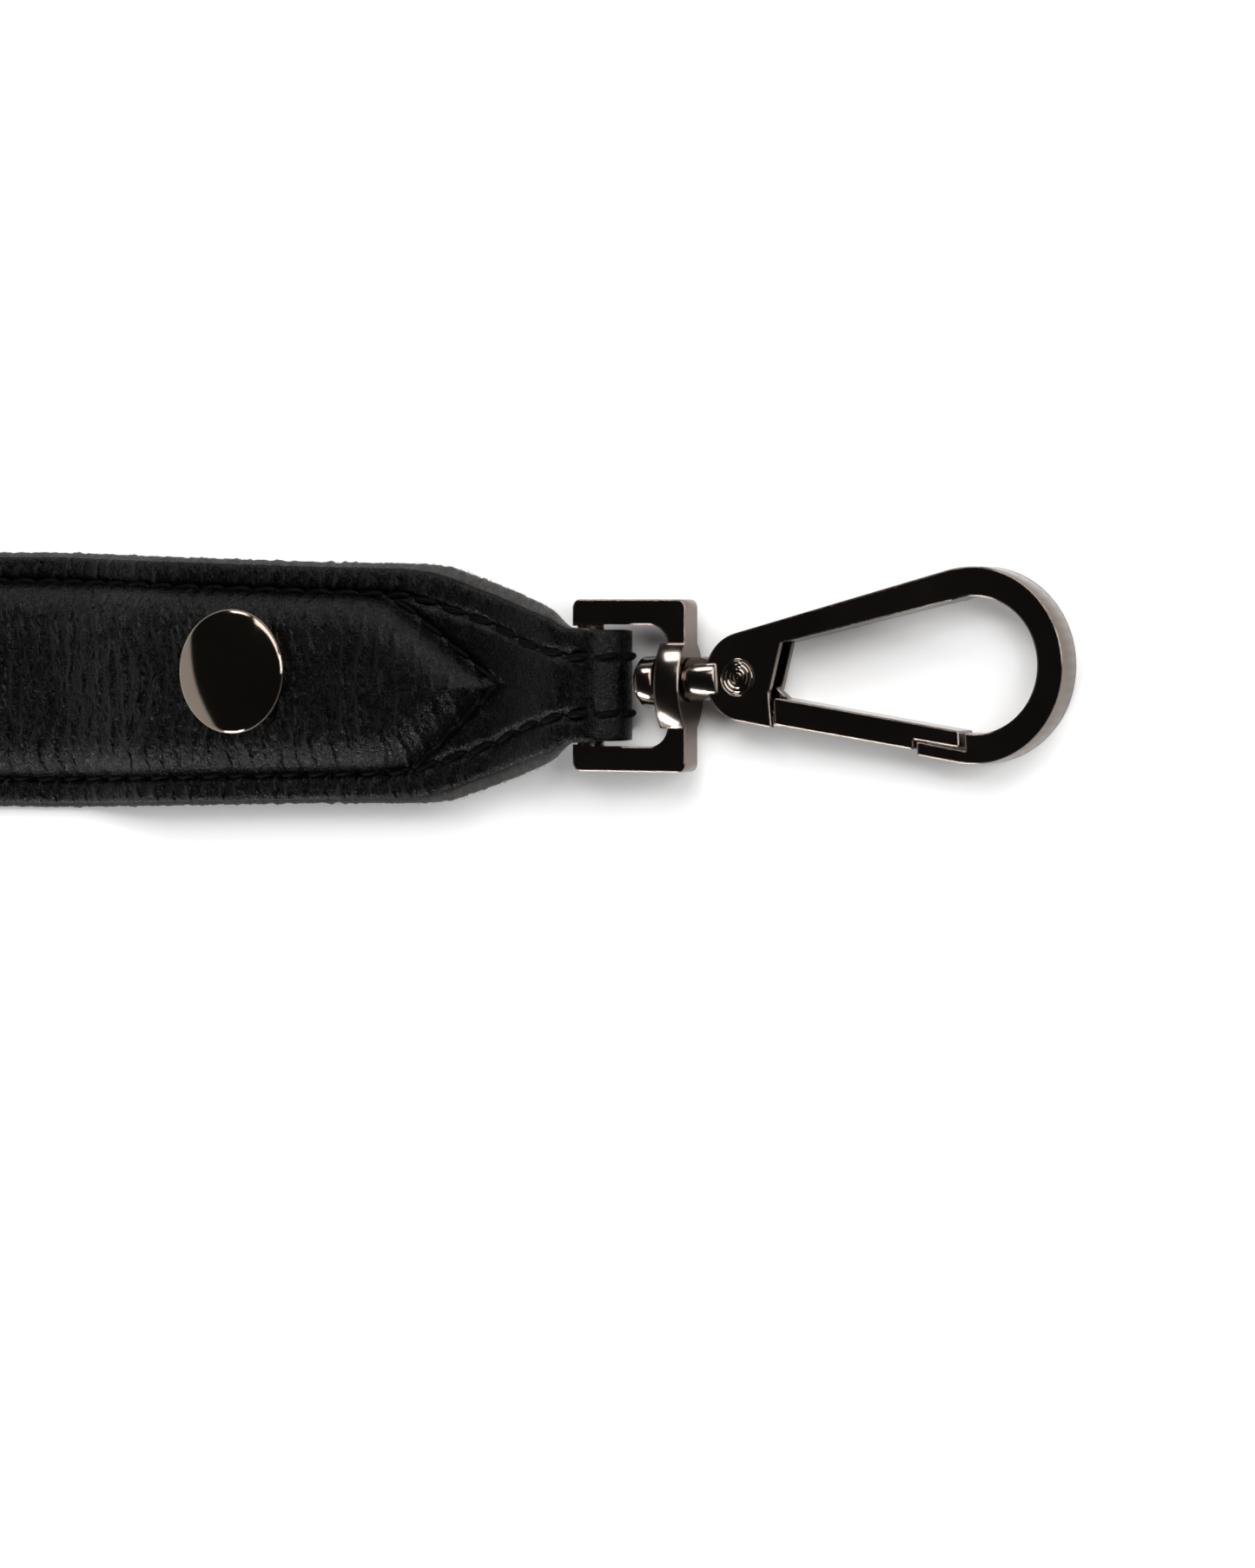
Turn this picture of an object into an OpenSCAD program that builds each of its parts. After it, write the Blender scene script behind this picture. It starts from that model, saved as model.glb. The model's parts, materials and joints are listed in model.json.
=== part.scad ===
/* [Strap] */
// Length of the folded leather between the two end folds
strap_len = 294; // [260:2:420]
// Width of the strap at its middle
strap_w = 31.6; // [31.2:0.2:34]
// Thickness of the top leather
top_t = 1.1; // [0.9:0.1:1.2]
// Thickness of the backing leather
back_t = 1.1; // [0.9:0.1:1.2]
// Height of the foam pad
foam_t = 3.0; // [2:0.2:4]
// How far the backing leather stands out past the top leather at the middle
back_proud = 0.5; // [0.2:0.1:1]

/* [Stitching] */
// Length of one stitch with its gap
stitch_pitch = 3.9; // [3:0.1:5]
// Distance of the stitches from the top leather's edge
stitch_inset = 3.1; // [2.6:0.1:3.2]
// Thickness of the thread
thread_d = 0.7; // [0.4:0.1:0.9]

/* [Stud] */
// Distance of the stud from the end fold
stud_at = 53.8; // [48:0.2:56]
// Diameter of the domed cap
cap_d = 15.4; // [12:0.2:16]
// Height of the domed cap
cap_h = 2.0; // [1.6:0.1:2.6]

/* [Swivel ring] */
// Half the inner width of the ring
ring_in = 7.25; // [7.2:0.05:7.6]
// Width of the ring's two side bars
ring_side = 3.0; // [2.6:0.1:3.2]
// Thickness of the ring
ring_t = 3.2; // [2.8:0.1:3.4]

/* [Hook] */
// Distance from the ring's inner bar to the hook's tip
hook_reach = 62.5; // [62.3:0.1:62.7]
// Thickness of the hook's arms
arm_t = 4.0; // [3.6:0.1:4.2]
// Angle of the hook across the strap at rest
hook_yaw = 3.0; // [0:0.5:3]

/* [Hidden] */
$fn = 64;
GAP = 0.01;
FAR = 300;

// Leather layers: heights of the face between the top and the backing leather,
// as a function of the distance d from the end fold
half_len = strap_len / 2;
pair_t = top_t + back_t;
loop_in = 1.9;                          // inner radius of the folded loop
loop_out = loop_in + pair_t;
loop_at = loop_out;                     // the loop's centre, from the fold
bar_z = loop_out + 0.2;
bar_at = 5.1;                           // the ring's bar, from the fold
flat_from = 7;
flat_to = 19;
drop_from = 66;
drop_to = 84;
stud_base_t = 1.0;
loop_mid = bar_z + loop_in + back_t;
pile_mid = stud_base_t + pair_t + back_t;
low_mid = back_t;
return_end = 61;
return_loop_mid = bar_z - loop_in - back_t;
return_mid = stud_base_t + top_t;
tongue_w = 13;

// Half widths at distance d from the fold: of the top leather, the backing, and between the seams
EDGE_D = [0, 3.8, 7.2, 8.0, 9.5, 13.5, 19.3, 24, 27, 31, 44, 57, 85, half_len];
TOP_Y = [6.5, 6.6, 6.85, 7.7, 8.1, 9.2, 11.0, 12.6, 13.4, 13.9, 14.2, 14.6, 15.5, strap_w / 2];
BACK_Y = [6.5, 6.6, 6.85, 8.2, 9.1, 10.4, 12.2, 13.8, 14.3, 14.5, 14.7, 15.1, 16.0,
          strap_w / 2 + back_proud];
SEAM_Y = [3.4, 3.5, 3.7, 3.85, 4.2, 5.2, 7.5, 8.9, 9.8, 10.7, 11.1, 11.5, 12.4,
          strap_w / 2 - stitch_inset];
STEPS = 8;

// The pad's point, its shoulders, and how far the foam stays inside the stitches
point_at = 17.6;
shoulder_at = 31.5;
foam_gap = 0.9;
wall = 0.8;

// Stud
post_d = 3.6;
post_hole_d = 3.8;
stud_y = 1.35;
base_d = 12.5;
cap_rim = 0.9;

// Hook, in its own frame: x away from the ring's inner bar, z through its thickness
bar_d = 3.2;
ring_end = 13.5;
window_end = 11.2;
ring_corner = 1.0;
boss_in = 10.2;
boss_y = 5;
boss_r = 7.84;
boss_drop = 4.44;
stem_head_d = 6.1;
stem_head_in = 6.9;
stem_head_out = 9.7;
stem_d = 4.5;
stem_bore_d = 4.6;
neck_d = 5.3;
neck_from = 13.8;
spigot_d = 3.0;
spigot_end = 17.3;
head_r = 5.3;
head_at = 21.7;
head_t = arm_t;
nose_r = 11.4;
nose_at = hook_reach - nose_r - 0.01;
eye_r = 7.95;
eye_at = nose_at + 0.3;
hook_tilt = asin((bar_z - arm_t / 2 - 0.03) / hook_reach);

// Gate and its pin
pivot_at = 20.7;
pin_d = 2.0;
pin_bore_d = 2.1;
pin_head_d = 3.4;
pin_seat_d = 4.2;
pin_seat_deep = 0.3;
slot_t = 2.4;
root_t = 1.2;
root_low = -1.1;
root_r = 2.4;
slot_r = 2.7;
shoulder_r = 5.5;
spring_r = 1.55;
wire_d = 0.4;
spring_turns = 1.4;

function ease(t) = t * t * (3 - 2 * t);
function blend(d, from, to, a, b) =
    d <= from ? a : d >= to ? b : a + (b - a) * ease((d - from) / (to - from));
function mid_z(d) =
    d < drop_from ? blend(d, flat_from, flat_to, loop_mid, pile_mid)
                  : blend(d, drop_from, drop_to, pile_mid, low_mid);
function return_z(d) = blend(d, flat_from, flat_to, return_loop_mid, return_mid);
function from_fold(x) = half_len - abs(x);
function seam_y(x) = lookup(from_fold(x), [for (i = [0 : len(EDGE_D) - 1]) [EDGE_D[i], SEAM_Y[i]]]);

// Distances at which a side profile has its corners
function spread(a, b) = [for (i = [0 : STEPS]) a + (b - a) * i / STEPS];
TOP_D = concat([loop_at], spread(flat_from, flat_to), spread(drop_from, drop_to), [half_len]);
RETURN_D = concat([loop_at], spread(flat_from, flat_to), [return_end]);

module both_ways() {
    children();
    mirror([1, 0, 0]) children();
}

module at_end(name) {
    rotate([0, 0, name == "b" ? 180 : 0]) children();
}

// A sheet that follows a profile of heights, between two offsets from it
module sheet(dist, height, low, high) {
    lower = [for (i = [0 : len(dist) - 1]) [half_len - dist[i], height[i] + low]];
    upper = [for (i = [len(dist) - 1 : -1 : 0]) [half_len - dist[i], height[i] + high]];
    rotate([90, 0, 0]) linear_extrude(FAR, center = true) polygon(concat(lower, upper));
}

module main_sheet(low, high) {
    heights = [for (d = TOP_D) mid_z(d)];
    both_ways() sheet(TOP_D, heights, low, high);
}

module return_sheet(low, high) {
    heights = [for (d = RETURN_D) return_z(d)];
    both_ways() sheet(RETURN_D, heights, low, high);
}

// An outline of the strap seen from above, from its half widths at EDGE_D
module outline(widths) {
    last = len(EDGE_D) - 1;
    right = [for (i = [0 : last]) [half_len - EDGE_D[i], widths[i]]];
    left = [for (i = [last - 1 : -1 : 0]) [EDGE_D[i] - half_len, widths[i]]];
    side = concat(right, left);
    lower = [for (i = [len(side) - 1 : -1 : 0]) [side[i][0], -side[i][1]]];
    linear_extrude(FAR, center = true) polygon(concat(side, lower));
}

module return_outline() {
    both_ways() {
        translate([half_len - return_end + tongue_w / 2, -tongue_w / 2, -FAR / 2])
            cube([return_end - tongue_w / 2, tongue_w, FAR]);
        translate([half_len - return_end + tongue_w / 2, 0, -FAR / 2]) cylinder(h = FAR, d = tongue_w);
    }
}

// The foam's outline: parallel to the stitches, with a point at each end
module pad_outline(inset) {
    reach = point_at + inset * 1.6;
    side_y = seam_y(half_len - shoulder_at) - foam_gap - inset;
    mid_y = seam_y(0) - foam_gap - inset;
    tip = half_len - reach;
    shoulder = half_len - shoulder_at;
    linear_extrude(FAR, center = true)
        polygon([[tip, 0], [shoulder, side_y], [0, mid_y], [-shoulder, side_y],
                 [-tip, 0], [-shoulder, -side_y], [0, -mid_y], [shoulder, -side_y]]);
}

module loop_ring(r_in, r_out, w) {
    both_ways() intersection() {
        translate([half_len - loop_at, 0, bar_z]) rotate([90, 0, 0]) difference() {
            cylinder(h = w, r = r_out, center = true);
            cylinder(h = w + 1, r = r_in, center = true);
        }
        translate([half_len - loop_at, -w / 2, 0]) cube([loop_at + 1, w, 3 * bar_z]);
    }
}

module post_holes(d) {
    for (end = ["a", "b"])
        at_end(end) translate([half_len - stud_at, stud_y, -1]) cylinder(h = 20, d = d);
}

module top_leather() {
    color([0.09, 0.085, 0.085]) difference() {
        union() {
            intersection() {
                main_sheet(0, top_t);
                outline(TOP_Y);
            }
            intersection() {
                main_sheet(0, foam_t + top_t);
                pad_outline(0);
            }
            intersection() {
                return_sheet(-top_t, 0);
                return_outline();
            }
            loop_ring(loop_in + back_t, loop_out, tongue_w);
        }
        intersection() {
            main_sheet(-GAP, foam_t);
            pad_outline(wall);
        }
        post_holes(post_hole_d);
    }
}

module backing_leather() {
    color([0.36, 0.34, 0.33]) difference() {
        union() {
            intersection() {
                main_sheet(-back_t, 0);
                outline(BACK_Y);
            }
            intersection() {
                return_sheet(0, back_t);
                return_outline();
            }
            loop_ring(loop_in, loop_in + back_t, tongue_w);
        }
        post_holes(post_hole_d);
    }
}

module foam_pad() {
    color([0.82, 0.8, 0.72]) difference() {
        intersection() {
            main_sheet(0, foam_t - GAP);
            pad_outline(wall + GAP);
        }
        post_holes(post_hole_d);
    }
}

// One stitch lying on the top leather, from its point on the seam in direction turn
module stitch(x, y, turn) {
    slope = atan2(mid_z(from_fold(x) - 1) - mid_z(from_fold(x) + 1), 2) * sign(x);
    lift = top_t + thread_d / 2 + 0.12;
    translate([x, y, mid_z(from_fold(x)) + lift]) rotate([0, -slope, 0]) rotate([0, 0, turn])
        cube([stitch_pitch * 0.74, thread_d, thread_d], center = true);
}

SEAM_END = half_len - 7;
SEAM_STEPS = floor(SEAM_END / stitch_pitch);

module edge_stitching(side) {
    color([0.05, 0.05, 0.05])
        for (i = [-SEAM_STEPS : SEAM_STEPS]) {
            x = i * stitch_pitch;
            turn = atan2(seam_y(x + 1) - seam_y(x - 1), 2);
            stitch(x, side * seam_y(x), side * turn);
        }
}

module point_stitching() {
    leg_x = shoulder_at - point_at;
    leg_y = seam_y(half_len - shoulder_at) - 1;
    count = floor(norm([leg_x, leg_y]) / stitch_pitch);
    turn = atan2(leg_y, leg_x);
    color([0.05, 0.05, 0.05])
        for (side = [-1, 1])
            for (i = [0 : count - 1]) {
                along = (i + 0.6) / count;
                stitch(half_len - point_at + 1 - along * leg_x, side * along * leg_y, -side * turn);
            }
}

module stud_cap() {
    dome_r = (pow(cap_d / 2 - cap_rim, 2) + pow(cap_h - cap_rim, 2)) / (2 * (cap_h - cap_rim));
    color([0.2, 0.19, 0.19])
        translate([half_len - stud_at, stud_y, pile_mid + foam_t + top_t]) difference() {
            union() {
                cylinder(h = cap_rim, d = cap_d - cap_rim);
                rotate_extrude() translate([cap_d / 2 - cap_rim / 2, cap_rim / 2])
                    circle(d = cap_rim, $fn = 24);
                intersection() {
                    translate([0, 0, cap_h - dome_r]) sphere(r = dome_r, $fn = 96);
                    cylinder(h = cap_h + 1, d = cap_d - 2 * cap_rim);
                }
            }
            translate([0, 0, -GAP]) cylinder(h = 0.9, d = post_d);
        }
}

module stud_post() {
    low = stud_base_t * 0.4;
    color([0.3, 0.29, 0.29])
        translate([half_len - stud_at, stud_y, low])
            cylinder(h = pile_mid + foam_t + top_t + 0.85 - low, d = post_d);
}

module stud_base() {
    color([0.25, 0.24, 0.24])
        translate([half_len - stud_at, stud_y, 0]) difference() {
            union() {
                cylinder(h = stud_base_t * 0.6, d = base_d);
                cylinder(h = stud_base_t, d = base_d - 1.2);
            }
            translate([0, 0, stud_base_t * 0.4]) cylinder(h = 2, d = post_d);
        }
}

// The ring's frame: x away from its inner bar, which lies in the strap's loop
module in_ring_frame() {
    translate([half_len - bar_at, 0, bar_z]) rotate([0, hook_tilt, 0]) children();
}

// The hook's frame leans a little to one side, as it can in its loose bore
module in_hook_frame() {
    in_ring_frame() rotate([0, 0, hook_yaw]) children();
}

module along_x(from, to, d) {
    translate([from, 0, 0]) rotate([0, 90, 0]) cylinder(h = to - from, d = d);
}

module rounded_slab(x0, x1, y, r, h) {
    translate([x0 + r, -y, -h / 2]) cube([x1 - x0 - 2 * r, 2 * y, h]);
    translate([x0, -y + r, -h / 2]) cube([x1 - x0, 2 * y - 2 * r, h]);
    for (cx = [x0 + r, x1 - r], cy = [-y + r, y - r])
        translate([cx, cy, 0]) cylinder(h = h, r = r, center = true, $fn = 32);
}

module swivel_ring() {
    outer_y = ring_in + ring_side;
    color([0.24, 0.23, 0.22]) in_ring_frame() difference() {
        union() {
            difference() {
                rounded_slab(-bar_d / 2, ring_end, outer_y, ring_corner, ring_t);
                rounded_slab(-bar_d, window_end, ring_in, 2.5, ring_t + 1);
            }
            rotate([90, 0, 0]) cylinder(h = 2 * outer_y - ring_side, d = bar_d, center = true);
            intersection() {
                translate([boss_in, -boss_y, -5]) cube([ring_end - boss_in, 2 * boss_y, 10]);
                lens();
            }
        }
        rotate([0, 0, hook_yaw]) along_x(boss_in - 1, ring_end + 1, stem_bore_d);
    }
}

// The boss's arched section: where two wide cylinders meet
module lens() {
    intersection() {
        translate([0, 0, -boss_drop]) along_x(boss_in - 1, ring_end + 1, 2 * boss_r);
        translate([0, 0, boss_drop]) along_x(boss_in - 1, ring_end + 1, 2 * boss_r);
    }
}

module swivel_stem() {
    color([0.3, 0.29, 0.28]) in_hook_frame() {
        along_x(stem_head_in, stem_head_in + 0.6, stem_head_d - 1.4);
        along_x(stem_head_in + 0.6, stem_head_out, stem_head_d);
        along_x(stem_head_out, neck_from, stem_d);
        along_x(neck_from, spigot_end, spigot_d);
    }
}

// The closed teardrop: two circles and the straight flanks that touch them both
module teardrop(h) {
    lean = asin((nose_r - head_r) / (nose_at - head_at));
    translate([nose_at, 0, 0]) cylinder(h = h, r = nose_r, center = true, $fn = 128);
    translate([head_at, 0, 0]) cylinder(h = h, r = head_r, center = true);
    linear_extrude(h, center = true)
        polygon([for (p = [[head_at, head_r, 1], [nose_at, nose_r, 1],
                           [nose_at, nose_r, -1], [head_at, head_r, -1]])
                 [p[0] - p[1] * sin(lean), p[2] * p[1] * cos(lean)]]);
}

GATE_TIP = 49.0;
NOSE_WALL = 49.8;
LIP_FROM = 43.7;
WINDOW_LEFT = [[26.5, 3.75], [24.7, -2.0]];

module hook_body() {
    color([0.24, 0.23, 0.22]) in_hook_frame() difference() {
        union() {
            teardrop(arm_t);
            translate([head_at, 0, 0]) cylinder(h = head_t, r = head_r, center = true);
            along_x(neck_from, head_at - head_r + 1.5, neck_d);
        }
        // the eye and the space between the arm and the gate
        translate([eye_at, 0, 0]) cylinder(h = 9, r = eye_r, center = true, $fn = 96);
        linear_extrude(9, center = true)
            polygon([WINDOW_LEFT[0], [48.8, 7.6], [52, 0], [NOSE_WALL, -5], [NOSE_WALL, -9.85],
                     [LIP_FROM - 0.1, -8.5], [LIP_FROM, -12], [24.9, -7], WINDOW_LEFT[1]]);
        // the slot for the gate's root
        translate([pivot_at, 0, 0]) cylinder(h = slot_t, r = slot_r, center = true);
        linear_extrude(slot_t, center = true)
            polygon([[pivot_at, slot_r], [27, 4.5], [27, -8], [pivot_at - 0.3, -8], [pivot_at - slot_r, 0]]);
        // the pin's hole and the seats of its heads
        translate([pivot_at, 0, 0]) cylinder(h = 9, d = pin_d, center = true);
        for (side = [-1, 1])
            translate([pivot_at, 0, side * head_t / 2])
                cylinder(h = 2 * pin_seat_deep, d = pin_seat_d, center = true);
        along_x(neck_from - 1, spigot_end, spigot_d);
    }
}

module gate() {
    color([0.27, 0.26, 0.25]) in_hook_frame() difference() {
        union() {
            difference() {
                linear_extrude(arm_t, center = true)
                    polygon([[25.3, -2.56], [GATE_TIP, -7.5], [GATE_TIP, -9.4], [43.2, -8.25],
                             [43.1, -9.4], [26.8, -6.1], [25.3, -5.75]]);
                translate([pivot_at, 0, 0]) cylinder(h = 9, r = shoulder_r, center = true);
            }
            translate([pivot_at, 0, root_low]) cylinder(h = root_t, r = root_r);
            translate([0, 0, root_low]) linear_extrude(root_t)
                polygon([[pivot_at, root_r - 0.05], [26.6, -3], [26.6, -5.7], [pivot_at, -root_r + 0.05]]);
        }
        translate([pivot_at, 0, 0]) cylinder(h = 9, d = pin_bore_d, center = true);
    }
}

module gate_pin() {
    color([0.32, 0.31, 0.3]) in_hook_frame() translate([pivot_at, 0, 0]) {
        cylinder(h = head_t - 2 * pin_seat_deep, d = pin_d, center = true);
        for (side = [0, 1])
            mirror([0, 0, side]) translate([0, 0, head_t / 2 - pin_seat_deep]) {
                cylinder(h = 0.3, d = pin_head_d);
                cylinder(h = 0.45, d = pin_head_d - 0.8);
            }
    }
}

// A tube swept along a list of points, with a square section of eight sides
SIDES = 8;
function ring_at(p, ahead, r) =
    let (t = ahead / norm(ahead), u = cross([0, 0, 1], t), n = u / norm(u), m = cross(t, n))
    [for (k = [0 : SIDES - 1]) p + r * (n * cos(360 * k / SIDES) + m * sin(360 * k / SIDES))];

module swept(path, r) {
    n = len(path);
    points = [for (i = [0 : n - 1]) each ring_at(
        path[i], path[min(i + 1, n - 1)] - path[max(i - 1, 0)], r)];
    sides = [for (i = [0 : n - 2], k = [0 : SIDES - 1])
        [i * SIDES + k, i * SIDES + (k + 1) % SIDES,
         (i + 1) * SIDES + (k + 1) % SIDES, (i + 1) * SIDES + k]];
    first = [for (k = [SIDES - 1 : -1 : 0]) k];
    last = [for (k = [0 : SIDES - 1]) (n - 1) * SIDES + k];
    polyhedron(points, concat([first], sides, [last]));
}

module gate_spring() {
    rise = 0.42;
    turn_steps = 18;
    steps = round(spring_turns * turn_steps);
    low = root_low + root_t + wire_d / 2 + 0.03;
    coil = [for (i = [0 : steps]) let (a = -60 + i * 360 / turn_steps)
        [spring_r * cos(a), spring_r * sin(a), low + rise * i / turn_steps]];
    color([0.6, 0.6, 0.58]) in_hook_frame() translate([pivot_at, 0, 0]) swept(coil, wire_d / 2);
}

top_leather();
backing_leather();
foam_pad();
edge_stitching(1);  // edge_stitching_left
edge_stitching(-1);  // edge_stitching_right
point_stitching();  // point_stitching_a
at_end("b") point_stitching();  // point_stitching_b
stud_cap();  // stud_cap_a
at_end("b") stud_cap();  // stud_cap_b
stud_post();  // stud_post_a
at_end("b") stud_post();  // stud_post_b
stud_base();  // stud_base_a
at_end("b") stud_base();  // stud_base_b
swivel_ring();  // swivel_ring_a
at_end("b") swivel_ring();  // swivel_ring_b
swivel_stem();  // swivel_stem_a
at_end("b") swivel_stem();  // swivel_stem_b
hook_body();  // hook_body_a
at_end("b") hook_body();  // hook_body_b
gate();  // gate_a
at_end("b") gate();  // gate_b
gate_pin();  // gate_pin_a
at_end("b") gate_pin();  // gate_pin_b
gate_spring();  // gate_spring_a
at_end("b") gate_spring();  // gate_spring_b
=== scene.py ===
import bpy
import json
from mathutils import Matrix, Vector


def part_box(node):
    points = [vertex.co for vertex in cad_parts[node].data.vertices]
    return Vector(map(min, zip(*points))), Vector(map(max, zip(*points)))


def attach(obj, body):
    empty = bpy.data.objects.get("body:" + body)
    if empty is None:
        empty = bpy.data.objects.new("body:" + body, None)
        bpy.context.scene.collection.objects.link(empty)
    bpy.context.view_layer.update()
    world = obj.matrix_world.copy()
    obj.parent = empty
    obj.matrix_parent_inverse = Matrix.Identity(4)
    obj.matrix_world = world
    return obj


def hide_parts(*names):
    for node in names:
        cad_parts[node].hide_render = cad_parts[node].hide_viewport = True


bl_info = {
    "name": "Padded bag strap with snap hooks",
    "version": (1, 0, 0),
    "blender": (4, 5, 0),
    "location": "View3D > Sidebar > Bag strap",
    "description": "Dresses a padded leather bag strap: leather, seams, studs and swivel snap hooks",
    "category": "Object",
}

import json
import math
import random

import bmesh
import bpy
from bpy.props import FloatProperty, FloatVectorProperty, PointerProperty
from mathutils import Matrix, Vector, noise

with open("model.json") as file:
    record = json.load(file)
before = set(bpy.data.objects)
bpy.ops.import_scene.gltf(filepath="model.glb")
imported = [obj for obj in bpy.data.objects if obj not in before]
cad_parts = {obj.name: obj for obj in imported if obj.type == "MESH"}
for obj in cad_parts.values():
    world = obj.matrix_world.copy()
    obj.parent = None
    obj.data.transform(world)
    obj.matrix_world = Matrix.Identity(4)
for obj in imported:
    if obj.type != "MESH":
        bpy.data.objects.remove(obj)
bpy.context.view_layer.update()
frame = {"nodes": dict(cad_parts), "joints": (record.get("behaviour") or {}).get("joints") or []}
MM = 0.001
ENDS = ("a", "b")

# The strap's lengths along its centre line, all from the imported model
FOLD_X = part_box("top_leather")[1].x
STUD = (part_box("stud_cap_a")[0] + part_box("stud_cap_a")[1]) / 2
STUD_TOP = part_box("stud_cap_a")[1].z
CAP_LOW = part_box("stud_cap_a")[0].z
CAP_R = (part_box("stud_cap_a")[1].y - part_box("stud_cap_a")[0].y) / 2
BAR = Vector(next(j["pos_m"] for j in frame["joints"] if j["name"] == "ring_swing_a"))
# Leather stack, as built: each layer's thickness and where the strap rises over its own tongue
TOP_T = 1.1 * MM
BACK_T = 1.1 * MM
FOAM_T = 3.0 * MM
CROWN_ROUND, CROWN_STEEP = 2.2, 0.72
LOOP_IN = 1.9 * MM
LOOP_R = LOOP_IN + BACK_T
LOOP_AT = LOOP_R + TOP_T
RISE = (7 * MM, 19 * MM)
DROP = (66 * MM, 84 * MM)
LOOP_MID = BAR.z + LOOP_R
PILE_MID = STUD_TOP - 2.0 * MM - FOAM_T - TOP_T
RETURN_MID = 2.1 * MM
RETURN_END = 61 * MM
TONGUE_HALF = 6.5 * MM
# Distance from the end fold, then half widths: top leather, backing leather, edge seam
PROFILE = [
    (0, 6.5, 6.5, 3.4), (3.8, 6.6, 6.6, 3.5), (7.2, 6.85, 6.85, 3.7), (8.0, 7.7, 8.2, 3.85),
    (9.5, 8.1, 9.1, 4.2), (13.5, 9.2, 10.4, 5.2), (19.3, 11.0, 12.2, 7.5), (24, 12.6, 13.8, 8.9),
    (27, 13.4, 14.3, 9.8), (31, 13.9, 14.5, 10.7), (44, 14.2, 14.7, 11.1), (57, 14.6, 15.1, 11.5),
    (85, 15.5, 16.0, 12.4), (147, 15.8, 16.3, 12.7)]
TOP, BACK, SEAM = 1, 2, 3
# The pad's point, the groove and holes along its seams, and its shoulders left and right
POINT_AT = 17.6 * MM
SEAM_WIDE = 0.62 * MM
HOLE_WIDE = 0.42 * MM
SHOULDERS = {1: 33.0 * MM, -1: 30.0 * MM}


class StrapSizes(bpy.types.PropertyGroup):
    seam_inset: FloatProperty(name="Seam inset", description="Edge seam to leather edge",
                              default=3.1 * MM, unit="LENGTH", precision=5)
    seam_groove: FloatProperty(name="Seam groove", description="How deep the thread pulls the leather",
                               default=0.55 * MM, unit="LENGTH", precision=5)
    roll: FloatProperty(name="Pad roll", description="Width of the pad's rounded side",
                        default=5.5 * MM, unit="LENGTH", precision=5)
    wrinkle: FloatProperty(name="Wrinkle height", description="Height of the cross wrinkles",
                           default=0.17 * MM, unit="LENGTH", precision=5)
    step: FloatProperty(name="Mesh step", description="Length of one mesh face along the strap",
                        default=0.35 * MM, unit="LENGTH", precision=5)
    leather: FloatVectorProperty(name="Leather", description="Colour of the top leather",
                                 default=(0.0008, 0.0007, 0.0007), subtype="COLOR")
    suede: FloatVectorProperty(name="Suede", description="Colour of the raw suede edges",
                               default=(0.023, 0.021, 0.020), subtype="COLOR")


class ThreadSizes(bpy.types.PropertyGroup):
    pitch: FloatProperty(name="Stitch length", description="From one needle hole to the next",
                         default=3.9 * MM, unit="LENGTH", precision=5)
    radius: FloatProperty(name="Thread radius", description="Half the thread's thickness",
                          default=0.48 * MM, unit="LENGTH", precision=5)
    colour: FloatVectorProperty(name="Thread", description="Colour of the waxed thread",
                                default=(0.0008, 0.0008, 0.0008), subtype="COLOR")


class MetalFinish(bpy.types.PropertyGroup):
    hook: FloatVectorProperty(name="Hook metal", description="Colour of the black nickel hook",
                              default=(0.198, 0.164, 0.143), subtype="COLOR")
    stud: FloatVectorProperty(name="Stud metal", description="Colour of the polished cap",
                              default=(0.215, 0.178, 0.146), subtype="COLOR")
    steel: FloatVectorProperty(name="Plain steel", description="Colour of springs, posts and bases",
                               default=(0.42, 0.41, 0.39), subtype="COLOR")
    bevel: FloatProperty(name="Edge break", description="Width of the rounded metal edges",
                         default=0.38 * MM, unit="LENGTH", precision=5)


class StudioLook(bpy.types.PropertyGroup):
    floor: FloatVectorProperty(name="Floor", description="Colour of the pale floor",
                               default=(0.86, 0.86, 0.86), subtype="COLOR")
    key_power: FloatProperty(name="Key light", description="Power of the large soft light, in watts",
                             default=32.0)
    side_power: FloatProperty(name="Side light", description="Power of the right-hand light, in watts",
                              default=20.0)
    rake_power: FloatProperty(name="Rake light", description="Power of the upper left light, in watts",
                              default=14.0)
    fill_power: FloatProperty(name="Fill light", description="Power of the low fill light, in watts",
                              default=16.0)
    studio: FloatProperty(name="Studio", description="Brightness of the dark studio overhead",
                          default=0.02)
    glow: FloatProperty(name="Glow", description="Brightness of the glow on the near left",
                        default=0.95)
    horizon: FloatProperty(name="Horizon", description="Brightness along the horizon", default=0.8)
    distance: FloatProperty(name="Camera distance", description="From the camera to its aim",
                            default=725 * MM, unit="LENGTH")
    lens: FloatProperty(name="Lens", description="Focal length in millimetres", default=139.4)


# ---------------------------------------------------------------- small helpers

def ease(t):
    t = min(max(t, 0.0), 1.0)
    return t * t * (3 - 2 * t)


def between(d, span, low, high):
    return low + (high - low) * ease((d - span[0]) / (span[1] - span[0]))


def mid_z(d):
    """Height of the face between the two leathers at distance d from the fold."""
    if d < DROP[0]:
        return between(d, RISE, LOOP_MID, PILE_MID)
    return between(d, DROP, PILE_MID, BACK_T)


def return_z(d):
    return between(d, RISE, BAR.z - LOOP_R, RETURN_MID)


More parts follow.
